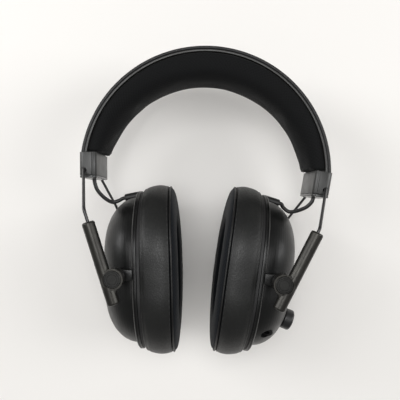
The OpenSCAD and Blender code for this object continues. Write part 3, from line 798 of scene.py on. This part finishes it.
cushion_profile = (
    [face_point(i / FACE_STEPS) for i in range(FACE_STEPS)]
    + [(EAR_HOLE, SEAM_U + (CUSHION_H - SEAM_U) * i / WALL_STEPS) for i in range(WALL_STEPS)]
    + [(EAR_HOLE + (FOOT_R - EAR_HOLE) * i / BACK_STEPS, CUSHION_H) for i in range(BACK_STEPS)]
    + [side_point(1 - i / SIDE_STEPS) for i in range(SIDE_STEPS)]
)
cushion_runs, cushion_round = profile_run(cushion_profile)
print("cushion: seam radius", round(SEAM_R, 2), "opening", round(EAR_HOLE, 2), "foot", round(FOOT_R, 2))


def nearest_run(radius, height):
    best = min(range(len(cushion_profile)), key=lambda i: (
        (cushion_profile[i][0] - radius) ** 2 + (cushion_profile[i][1] - height) ** 2))
    return cushion_runs[best]


def cushion_cloth(co):
    along, radius = oval_place(co)
    return along, nearest_run(radius, co.x / MM)


def cushion_sewn(co):
    radius = oval_place(co)[1]
    u = co.x / MM
    if u > CUSHION_H - 0.6 or hypot(radius - SEAM_R, u - SEAM_U) < 0.4:
        return 1.0
    return 0.3 if radius < EAR_HOLE + 0.5 else 0.0


# %% Blow up the cushion and part it along the seam
CROWN = 2.0        # how far the two ends of the face fall back, in mm
PUCKER = 0.12      # height of the small gathers along the seam, in mm
FACE_END = FACE_STEPS + WALL_STEPS


def fall_back(y, u):
    """How far a point at height y and depth u moves away from the ear, in mm."""
    end = max(0, abs(y) - STRAIGHT / 3) / (CUSHION_R + STRAIGHT / 6)
    return CROWN * (1 - min(1, max(0, u) / CUSHION_H)) * end ** 2


cushion = oval_ring("cushion", cushion_profile)
lay_cloth(cushion, cushion_cloth, 2 * STRAIGHT + 2 * pi * MEAN_R, cushion_round)
cloth_side = set()
uv = cushion.data.uv_layers[0].data
for face in cushion.data.polygons:
    across = sum(uv[i].uv.y for i in face.loop_indices) / len(face.loop_indices) / MM
    if across > cushion_runs[FACE_END] and across < cushion_round:
        cloth_side.add(face.index)
inflate(cushion, cushion_sewn, pressure=4, cap=0.7, spare=0.002, smooth=8)
for v in cushion.data.vertices:
    along, radius = oval_place(v.co)
    v.co.x += fall_back(v.co.y / MM, v.co.x / MM) * MM
    gather = noise.noise(Vector((along * 0.55, radius * 0.12, v.co.x / MM * 0.1)))
    close = max(0, 1 - abs(hypot(radius - SEAM_R, v.co.x / MM - SEAM_U) - 2.2) / 2.2)
    v.co.x += PUCKER * MM * gather * close
    v.co.z += PUCKER * MM * gather * close * (1 if v.co.z > 0 else -1)
cushion.data.materials.append(face_cloth)
cushion.data.materials.append(cushion_leather)
for face in cushion.data.polygons:
    face.material_index = 1 if face.index in cloth_side else 0
report(cushion)
known = set(bpy.data.objects)
edit(cushion)
bpy.ops.mesh.separate(type="MATERIAL")
done()
cloths = {}
for half in [cushion] + [o for o in bpy.data.objects if o not in known]:
    mats = [m for m in half.data.materials if m]
    mat = mats[half.data.polygons[0].material_index] if len(mats) > 1 else mats[0]
    cloths["side" if mat == cushion_leather else "face"] = half
    paint(half, mat)
for half in cloths.values():
    edit(half, select=False)
    bpy.ops.mesh.select_non_manifold()
    bpy.ops.mesh.bridge_edge_loops()
    bpy.ops.mesh.select_all(action="SELECT")
    bpy.ops.mesh.normals_make_consistent(inside=False)
    done()
    subdivide(half, 1)
    for face in half.data.polygons:
        face.material_index = 0
    shade(half)
cloths["side"].name, cloths["face"].name = "cushion_skin", "cushion_cloth"
for half in cloths.values():
    report(half)

# %% [markdown]
# ## Piping, stitches and scrim
# The seam is covered by a thin cord of leatherette. A row of short stitches holds it 1.5 mm
# from its edge. The scrim is a thin open cloth stretched over the plate, in front of the
# driver; it dips a little in the middle.

# %% Piping, stitches and scrim
PIPE_R = 0.55
piping = oval_ring("piping", [
    (SEAM_R + 0.15 + PIPE_R * cos(2 * pi * i / 10), SEAM_U - 0.1 + PIPE_R * sin(2 * pi * i / 10))
    for i in range(10)], steps=120)
for v in piping.data.vertices:
    v.co.x += fall_back(v.co.y / MM, SEAM_U) * MM
shade(paint(piping, piping_leather))

STITCH, PITCH, THREAD_R, FROM_SEAM = 2.4, 3.6, 0.19, 1.5      # all in mm


def round_oval(run, r):
    """The point and the direction, each as (y, z), that lie a run of millimetres round an oval."""
    half = STRAIGHT / 2
    way = 1
    if run >= STRAIGHT + pi * r:
        run, way = run - STRAIGHT - pi * r, -1
    if run < STRAIGHT:
        return (way * (run - half), way * r), (way, 0)
    a = (run - STRAIGHT) / r
    return (way * (half + r * sin(a)), way * r * cos(a)), (way * cos(a), -way * sin(a))


deselect()
bpy.ops.mesh.primitive_uv_sphere_add(segments=8, ring_count=6, radius=THREAD_R * MM)
bead = bpy.context.object
for v in bead.data.vertices:
    v.co.x *= STITCH / 2 / THREAD_R
loop_r = SEAM_R + 0.8
around = 2 * STRAIGHT + 2 * pi * loop_r
stitches = []
for i in range(round(around / PITCH)):
    (y, z), (dy, dz) = round_oval(i * around / round(around / PITCH), loop_r)
    guess = Vector((SEAM_U + FROM_SEAM + fall_back(y, SEAM_U), y, z)) * MM
    place, normal = cloths["side"].closest_point_on_mesh(guess)[1:3]
    along = Vector((0, dy, dz))
    along = (along - along.dot(normal) * normal).normalized()
    turn = Matrix((along, normal.cross(along), normal)).transposed().to_4x4()
    turn.translation = place
    stitches.append(shift(copy_of(bead, "stitch"), turn))
bpy.data.objects.remove(bead, do_unlink=True)
seam_thread = join("seam_thread", *stitches)
report(shade(paint(seam_thread, stitch_thread)))

sag = 0.5
deselect()
bpy.ops.mesh.primitive_circle_add(
    vertices=72, radius=EAR_R * MM, fill_type="TRIFAN", rotation=(0, radians(90), 0))
scrim = bpy.context.object
scrim.name = "scrim_cloth"
shift(scrim, Matrix.Identity(4))
edit(scrim)
bpy.ops.mesh.subdivide(number_cuts=5)
done()
for v in scrim.data.vertices:
    v.co.x = (CUSHION_H + sag * (1 - (hypot(v.co.y, v.co.z) / (EAR_R * MM)) ** 2)) * MM
    v.co.y += STRAIGHT / 2 * MM * max(-1, min(1, v.co.y / (4 * MM)))
lay_cloth(scrim, lambda co: (co.y / MM, co.z / MM), 0, 0)
scrim_thick = scrim.modifiers.new("thickness", "SOLIDIFY")
scrim_thick.thickness = 0.3 * MM
apply_modifiers(scrim)
report(shade(paint(scrim, scrim_cloth)))

# %% Lay the cushions in both cups
for side in ("left", "right"):
    made = {}
    for key, source, name in (
            ("side", cloths["side"], "cushion_leatherette_"), ("face", cloths["face"], "cushion_fabric_"),
            ("piping", piping, "cushion_piping_"), ("thread", seam_thread, "cushion_stitches_"),
            ("scrim", scrim, "scrim_fabric_")):
        made[key] = shift(copy_of(source, name + side), CUP[side])
        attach(made[key], "cup_" + side)
    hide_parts("cushion_side_" + side)
    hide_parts("cushion_face_" + side)
    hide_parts("scrim_" + side)
for source in (cloths["side"], cloths["face"], piping, seam_thread, scrim):
    bpy.data.objects.remove(source, do_unlink=True)

# %% [markdown]
# ## Headband
# The band is three layers. A leatherette cover is wrapped over the outside, a moulded nylon
# carrier shows as one thin bright edge under it, and a foam pad hangs below. Each layer is a
# small profile spun about the centre of the arc. The centre is found from the CAD cover: a
# circle through its top and its outermost point.

# %% Arc of the headband


def arc_through(top_y, x, y):
    """Centre height of a circle on the middle line, through its top and one more point."""
    return (top_y ** 2 - x ** 2 - y ** 2) / (2 * (top_y - y))


cover_points = points_of("band_cover")
cover_top = max(p.y for p in cover_points)
outermost = max(cover_points, key=lambda p: p.x)
ARC_Y = arc_through(cover_top, outermost.x, outermost.y)
MID_Z = mid_z / MM
BAND_R = cover_top - ARC_Y
CARRIER_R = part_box("band_carrier")[1].y / MM - ARC_Y
SPRING_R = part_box("spring_band")[1].y / MM - ARC_Y
BAND_HALF = (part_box("band_cover")[1].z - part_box("band_cover")[0].z) / 2 / MM
pad_points = [p - Vector((0, ARC_Y, MID_Z)) for p in points_of("band_pad")]
crown_y = min(p.y for p in pad_points if abs(p.x) < 6)
pad_foot = min((p for p in pad_points if p.y < min(q.y for q in pad_points) + 1.5), key=lambda p: abs(p.x))
pad_drop = arc_through(crown_y, pad_foot.x, pad_foot.y)
PAD_R = crown_y - pad_drop
PAD_HALF = max(p.z for p in pad_points)
print("band radius", round(BAND_R, 2), "about y", round(ARC_Y, 2), "pad crown", round(crown_y, 2))

# %% [markdown]
# ## End blocks
# Each end of the band drops into a moulded block. Its outline has wide round corners, which
# turn away from the light and read as soft dark bands. The block is parted into a body and an
# inner cover, with a glossy foot plate under both, so each is cut from one blank and its
# edges are then broken with a fine bevel. A wire bail enters through a hole near the outside.

# %% End blocks
LEAN = radians(5)
CORNER = 3                         # radius of the outline's corners, in mm
BORE_R = 1.15                      # the hole that the bail turns in
MOUTH_R, MOUTH_DEEP = 1.6, 0.9     # the wider mouth at each end of that hole
LEAD_HOLE_R = 1.55


def block_matrix(side):
    way = SIDES[side]
    x = Vector((way * cos(LEAN), -sin(LEAN), 0))
    y = Vector((way * sin(LEAN), cos(LEAN), 0))
    m = Matrix((x, y, Vector((0, 0, 1)))).transposed().to_4x4()
    low, high = corners([p for node in ("foot_plate_", "end_block_", "end_cover_")
                         for p in points_of(node + side, m.inverted())])
    m.translation = m.to_3x3() @ (low + high) / 2 * MM
    return m, high - low


BLOCK = {side: block_matrix(side) for side in SIDES}
block_size = BLOCK["left"][1]
into_block = BLOCK["left"][0].inverted()
PARTING = max(p.x for p in points_of("end_cover_left", into_block))
PLATE_TOP = max(p.y for p in points_of("foot_plate_left", into_block))
bail_hinge = into_block @ Vector(hinges["bail_swing_left"]["pos_m"]) / MM


def block_blank(name, low, high):
    """The block's outline between two levels, as a closed solid."""
    w, d = block_size.x / 2, block_size.z / 2
    ring = []
    for sx, sz, start in ((1, 1, 0), (-1, 1, 90), (-1, -1, 180), (1, -1, 270)):
        for i in range(9):
            a = radians(start + 90 * i / 8)
            ring.append((sx * (w - CORNER) + CORNER * cos(a), low, sz * (d - CORNER) + CORNER * sin(a)))
    obj = outline(name, ring)
    edit(obj)
    bpy.ops.mesh.edge_face_add()
    bpy.ops.mesh.extrude_region_move(TRANSFORM_OT_translate={"value": (0, (high - low) * MM, 0)})
    tidy()
    done()
    return obj


def part(obj, x, keep_inner):
    edit(obj)
    bpy.ops.mesh.bisect(plane_co=(x * MM, 0, 0), plane_no=(1, 0, 0), use_fill=True,
                        clear_outer=keep_inner, clear_inner=not keep_inner)
    tidy()
    done()
    return obj


top = block_size.y / 2
blank = block_blank("block_blank", PLATE_TOP + 0.05, top)
body = part(copy_of(blank, "block_body"), PARTING + 0.06, keep_inner=False)
lid = part(copy_of(blank, "block_lid"), PARTING - 0.02, keep_inner=True)
sole = block_blank("block_sole", -top, PLATE_TOP)
bpy.data.objects.remove(blank, do_unlink=True)
for piece, width in ((body, 0.35), (lid, 0.35), (sole, 0.45)):
    bevel(piece, width)
deep, sink = block_size.z, block_size.z / 2 - MOUTH_DEEP
bore = rod(BORE_R, -deep, deep, 32)
mouths = [rod(MOUTH_R, sink, deep, 32), rod(MOUTH_R, -deep, -sink, 32)]
for tool in (*mouths, bore):
    shift(tool, Matrix.Translation(Vector((bail_hinge.x, bail_hinge.y, 0)) * MM))
    cut(body, tool)
drill = rod(LEAD_HOLE_R, -block_size.y, block_size.y, 40)
cut(sole, shift(drill, Matrix.Rotation(radians(90), 4, "X")))
for side in SIDES:
    for source, name, nodes, mat, slot in (
            (body, "block_body_", "end_block_", block_abs, "block_plastic"),
            (lid, "block_cover_", "end_cover_", block_abs, "block_plastic"),
            (sole, "block_foot_", "foot_plate_", foot_abs, "foot_plastic")):
        piece = paint(shift(copy_of(source, name + side), BLOCK[side][0]), mat)
        settle(soften(piece, 30), "headband", nodes + side)
for source in (body, lid, sole):
    bpy.data.objects.remove(source, do_unlink=True)

# %% [markdown]
# ## Cover, carrier and pad
# The cover's edges are turned in over the carrier, so its profile has round corners. Each
# layer is cut off where it meets the blocks. The pad's profile is a D: straight sides that
# leave the carrier, and a full round belly. It is thickest at the crown, so every point is
# pulled in to the pad's own circle after the spin, and then the pad is blown up as cloth.

# %% Band layers
END_TURN = radians(96)


def band_sweep(name, profile, steps=128):
    """A closed (radius, depth) profile spun over the head."""
    start = Matrix.Rotation(END_TURN, 4, "Z")
    obj = outline(name, [start @ Vector((0, r, z)) for r, z in profile])
    spin(obj, (0, 0, 0), (0, 0, 1), 2 * END_TURN, steps)
    close_ends()
    tidy()
    done()
    return obj


def trim_to_blocks(obj, gap=0.05):
    shift(obj, Matrix.Translation(Vector((0, ARC_Y, MID_Z)) * MM))
    for side in SIDES:
        m = BLOCK[side][0]
        level = m @ (Vector((0, top + gap, 0)) * MM)
        normal = m.to_3x3() @ Vector((0, 1, 0))
        edit(obj)
        bm = bmesh.from_edit_mesh(obj.data)
        for face in bm.faces:
            face.select_set(face.calc_center_median().x * SIDES[side] > 0)
        bmesh.update_edit_mesh(obj.data)
        bpy.ops.mesh.bisect(plane_co=level, plane_no=normal, use_fill=True, clear_inner=True)
        tidy()
        done()
    return obj


def rounded_box(r_in, r_out, half, corner, steps=5):
    points = []
    for sr, sz, start in ((1, 1, 0), (0, 1, 90), (0, -1, 180), (1, -1, 270)):
        for i in range(steps + 1):
            a = radians(start + 90 * i / steps)
            r = (r_out - corner if sr else r_in + corner) + corner * cos(a)
            points.append((r, sz * (half - corner) + corner * sin(a)))
    return points


skin = trim_to_blocks(band_sweep("headband_cover", rounded_box(CARRIER_R + 0.05, BAND_R, BAND_HALF, 0.85)))
settle(soften(paint(skin, band_leather), 35), "headband", "band_cover")

strip = trim_to_blocks(band_sweep(
    "headband_carrier", rounded_box(SPRING_R + 0.05, CARRIER_R, BAND_HALF - 0.35, 0.35, 4)))
settle(soften(paint(strip, carrier_abs), 35), "headband", "band_carrier")

# %% Headband pad
BELLY = 0.62       # share of the thickness that is round
PAD_MEAN_R, PAD_ROUND_R = 64, 16   # radii at which the pad's cloth is measured, along and round
ROUGH_R, ROUGH_T = 60, 10          # radius and thickness of the pad as first spun, in mm
pad_half = PAD_HALF - 0.5
pad_profile = []
for i in range(13):
    pad_profile.append((0.0, pad_half * 0.97 * (1 - 2 * i / 12)))
for i in range(1, 6):
    pad_profile.append(((1 - BELLY) * i / 5, -pad_half * (0.97 + 0.03 * i / 5)))
for i in range(1, 28):
    a = pi * i / 28
    across = copysign(abs(cos(a)) ** 0.8, cos(a))
    pad_profile.append((1 - BELLY + BELLY * sin(a) ** 0.86, -pad_half * across))
for i in range(5, 0, -1):
    pad_profile.append(((1 - BELLY) * i / 5, pad_half * (0.97 + 0.03 * i / 5)))
pad = band_sweep("headband_pad", [(ROUGH_R - ROUGH_T * t, z) for t, z in pad_profile], steps=110)
for v in pad.data.vertices:
    share = (ROUGH_R - hypot(v.co.x, v.co.y) / MM) / ROUGH_T
    turn = atan2(v.co.x, v.co.y)
    under = pad_drop * cos(turn) + sqrt(PAD_R ** 2 - (pad_drop * sin(turn)) ** 2)
    r = SPRING_R - 0.1 - share * (SPRING_R - 0.1 - under - 0.6)
    v.co.x, v.co.y = r * sin(turn) * MM, r * cos(turn) * MM


def pad_sewn(co):
    r = hypot(co.x, co.y) / MM
    if r > SPRING_R - 1:
        return 1.0
    if abs(atan2(co.x, co.y)) > radians(84):
        return 1.0
    return 0.0


inflate(pad, pad_sewn, pressure=3, cap=0.9)
for v in pad.data.vertices:
    along = atan2(v.co.x, v.co.y) * BAND_R
    ripple = noise.noise(Vector((along * 0.045, v.co.z / MM * 0.12, 3.1)))
    deep = min(1, max(0, SPRING_R - 2 - hypot(v.co.x, v.co.y) / MM) / 4)
    scale = 1 + 0.35 * ripple * deep / (hypot(v.co.x, v.co.y) / MM)
    v.co.x, v.co.y = v.co.x * scale, v.co.y * scale
trim_to_blocks(pad, 0.3)


def pad_place(co):
    x, y, z = co.x / MM, co.y / MM - ARC_Y, co.z / MM - MID_Z
    return atan2(x, y) * PAD_MEAN_R, atan2(z, hypot(x, y) - (SPRING_R - 9)) * PAD_ROUND_R


lay_cloth(pad, pad_place, 0, 2 * pi * PAD_ROUND_R)
subdivide(pad, 1)
settle(shade(paint(pad, pad_cloth)), "headband", "band_pad")

# %% [markdown]
# ## Rings, arms and caps
# A ring clamps the shell to the cushion's plate. A groove runs round its rim, and an arm on
# each side carries the boss that the slider turns on. The slider's screw is hidden by a thin
# turned cap, whose face has two fine grooves.

# %% Cup rings
ring_points = points_of("cup_ring_left", CUP["left"].inverted())
RING_R = max(p.y for p in ring_points) - STRAIGHT / 2
RING_IN = RING_R - 1.8
ARM_ROOT = min(p.z for p in ring_points if p.z > 0 and p.x > PIVOT.x)
BOSS_FACE = max(p.z for p in ring_points)
BOSS_R = max(p.x for p in ring_points) - PIVOT.x
GROOVE = 0.4
ARM_END_R = 3.4    # radius of the arm's end, which hides under the boss, in mm
ARM_T = 1.9        # the arm lies low, under the level of the rim, in mm
mid_u = (RING_U + SHELL_U) / 2
ring_blank = oval_ring("ring_blank", [
    (RING_IN, RING_U + 0.05), (RING_R - 0.45, RING_U + 0.05), (RING_R - 0.1, RING_U + 0.25),
    (RING_R, RING_U + 0.6), (RING_R, mid_u - 0.3), (RING_R - GROOVE, mid_u - 0.15),
    (RING_R - GROOVE, mid_u + 0.15), (RING_R, mid_u + 0.3), (RING_R - 0.1, SHELL_U - 0.6),
    (RING_R - 0.7, SHELL_U - 0.1), (RING_IN - 1, SHELL_U), (RING_IN - 1, RING_U + 2.1),
    (RING_IN, RING_U + 2.1)], steps=110)
arms = []
for way in (1, -1):
    plan = [(RING_U + 0.6, -BOSS_R * 0.8), (SHELL_U + 1, -BOSS_R * 0.75)]
    plan += [(PIVOT.x + ARM_END_R * cos(radians(a)), ARM_END_R * sin(radians(a))) for a in range(-90, 91, 15)]
    plan += [(SHELL_U + 1, BOSS_R * 0.75), (RING_U + 0.6, BOSS_R * 0.8)]
    arm = outline("arm", [(u, PIVOT.y + y, way * ARM_ROOT) for u, y in plan])
    edit(arm)
    bpy.ops.mesh.edge_face_add()
    lift = way * ARM_T * MM
    bpy.ops.mesh.extrude_region_move(TRANSFORM_OT_translate={"value": (0, 0, lift)})
    tidy()
    done()
    ends = sorted((way * ARM_ROOT, way * BOSS_FACE))
    boss = shift(rod(BOSS_R, *ends, name="boss"), Matrix.Translation(Vector((PIVOT.x, PIVOT.y, 0)) * MM))
    arms += [bevel(arm, 0.5), bevel(boss, 0.3)]
ring_blank = soften(paint(join("ring_blank", ring_blank, *arms), ring_abs), 35)
for side in SIDES:
    piece = shift(copy_of(ring_blank, "cup_rim_" + side), CUP[side])
    settle(piece, "cup_" + side, "cup_ring_" + side)
bpy.data.objects.remove(ring_blank, do_unlink=True)

# %% Turned caps
CAP_GROOVES = ((0.8, 0.4, 0.2), (1.9, 0.35, 0.12))     # place in from the rim, width and depth, in mm
for side in SIDES:
    discs = []
    for way in (1, -1):
        low, high = corners([p for p in points_of("pivot_caps_" + side) if (p.z - MID_Z) * way > 0])
        r, h = (high.x - low.x) / 2, high.z - low.z
        line = [(0, 0), (r, 0), (r, h - 0.3), (r - 0.3, h)]
        for start, width, deep in CAP_GROOVES:
            line += [(r - start, h), (r - start - 0.1, h - deep), (r - start - width + 0.1, h - deep),
                     (r - start - width, h)]
        line.append((0, h))
        disc = outline("disc", [(x, 0, z) for x, z in line], closed=False)
        spin(disc, (0, 0, 0), (0, 0, 1), 2 * pi, 64)
        tidy()
        done()
        foot = Vector(((low.x + high.x) / 2, (low.y + high.y) / 2, low.z if way > 0 else high.z)) * MM
        discs.append(shift(disc, Matrix.Translation(foot) @ Matrix.Diagonal((1, 1, way, 1))))
    caps = soften(paint(join("turned_caps_" + side, *discs), cap_anodised), 30)
    settle(caps, "slider_" + side, "pivot_caps_" + side)

# %% [markdown]
# ## Leads
# A thin lead crosses from each foot plate to a rubber sleeve on the cup. It bends where the
# bail swings, where the slider moves and where the cup tilts, so it is made in three lengths
# that meet end to end.

# %% Leads
LEAD_R = 1.25
SLEEVE_R = 2.5                     # the rubber sleeve on the cup, in mm
ENTRY, NECK = 8.5, 3               # where the lead ends in the sleeve, and its straight stretch before
SLEEVE_FALL = radians(10)          # how far the sleeve leans from the cup's own axis
PARTED_AT = (0, 0.2, 0.38, 1)      # shares of the lead where its three lengths meet
LEAD_MIDS = {       # points from the centre of the band's arc, in mm, on the wearer's left
    "left": [(70.4, -12.4, 0), (67.6, -16.2, -1.5), (62.6, -19.2, -4.5),
             (57.6, -20.4, -6.4), (53.4, -18, -6.6)],
    "right": [(70.3, -12.6, 0), (68.2, -17.2, -1), (63.8, -21.6, -3.5),
              (59, -23.8, -5.4), (55, -22.4, -6.2)],
}
grommet = {side: local_box("lead_grommet_" + side, side) for side in SIDES}


def catmull(points, steps=8):
    dense = []
    for i in range(len(points) - 1):
        a, b = points[max(i - 1, 0)], points[i]
        c, d = points[i + 1], points[min(i + 2, len(points) - 1)]
        for k in range(steps):
            t = k / steps
            dense.append(0.5 * (2 * b + (c - a) * t + (2 * a - 5 * b + 4 * c - d) * t ** 2
                                + (3 * b - a - 3 * c + d) * t ** 3))
    return dense + [points[-1]]


def lead_tube(name, points):
    curve = bpy.data.curves.new(name, "CURVE")
    curve.dimensions = "3D"
    curve.bevel_depth = LEAD_R * MM
    curve.bevel_resolution = 6
    curve.use_fill_caps = True
    line = curve.splines.new("POLY")
    line.points.add(len(points) - 1)
    for p, co in zip(line.points, points):
        p.co = (*(co * MM), 1)
    tube = bpy.data.objects.new(name, curve)
    bpy.context.scene.collection.objects.link(tube)
    activate(tube)
    bpy.ops.object.convert(target="MESH")
    tube = bpy.context.object
    tube.name = tube.data.name = name
    bpy.ops.object.shade_smooth_by_angle(angle=radians(40))
    return tube


for side, way in SIDES.items():
    low, high = grommet[side]
    slope = Vector((cos(SLEEVE_FALL), -sin(SLEEVE_FALL), 0))
    root = Vector((low.x - 0.05, high.y - SLEEVE_R, (low.z + high.z) / 2))
    mouth = root + ENTRY * slope
    neck = mouth + NECK * slope
    start = BLOCK[side][0] @ (Vector((0, -top + 0.3, 0)) * MM) / MM
    route = [start] + [Vector((way * x, y + ARC_Y, z + MID_Z)) for x, y, z in LEAD_MIDS[side]]
    route += [CUP[side] @ (p * MM) / MM for p in (neck, mouth)]
    dense = catmull(route)
    length = sum((b - a).length for a, b in zip(dense, dense[1:]))
    ends = [round(share * (len(dense) - 1)) for share in PARTED_AT]
    chain = ("headband", "bail_" + side, "slider_" + side, "cup_" + side)
    for i, (first, second) in enumerate(zip(chain, chain[1:])):
        stretch = dense[ends[i]:ends[i + 1] + 1]
        tube = lead_tube("lead_%s_%d" % (side, i + 1), stretch)
        tube.data.materials.append(lead_pvc)
        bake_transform(tube)
        if i == 0:
            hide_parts("lead_" + side)
    print("lead", side, round(length, 1), "mm long")
